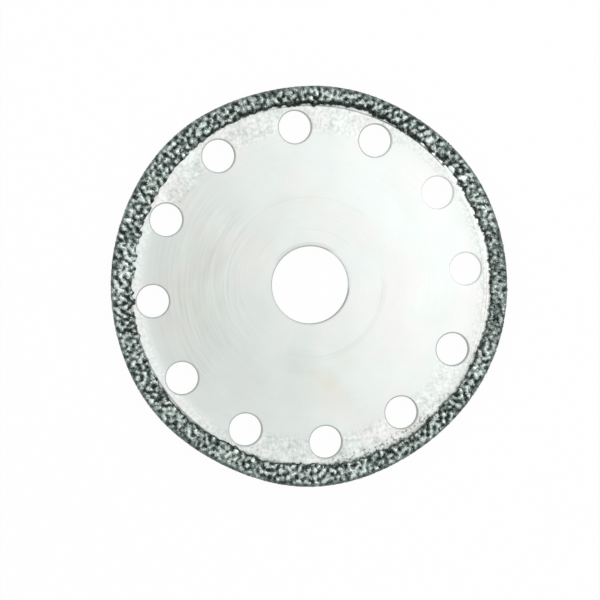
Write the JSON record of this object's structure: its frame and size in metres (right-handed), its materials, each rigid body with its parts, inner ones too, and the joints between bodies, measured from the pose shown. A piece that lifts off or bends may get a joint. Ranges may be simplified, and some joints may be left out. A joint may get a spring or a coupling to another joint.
{
  "type": "diamond cutting disc",
  "caption": "Flat round steel cutting disc with a central arbor bore, a circle of cooling holes and a coarse diamond grit rim that wraps the edge.",
  "frame": {"origin": "centre of the arbor bore at half the steel's thickness", "axes": "+Z along the disc's axis, towards the pictured face; +X through a cooling hole"},
  "size_m": [0.0519, 0.052, 0.002],
  "materials": {
    "steel_blank": "satin ground steel with faint concentric grinding marks",
    "diamond_grit": "coarse diamond crystals in dull nickel plating"
  },
  "bodies": {
    "root": {"core_disc": "steel_blank", "diamond_rim": "diamond_grit"}
  },
  "joints": []
}
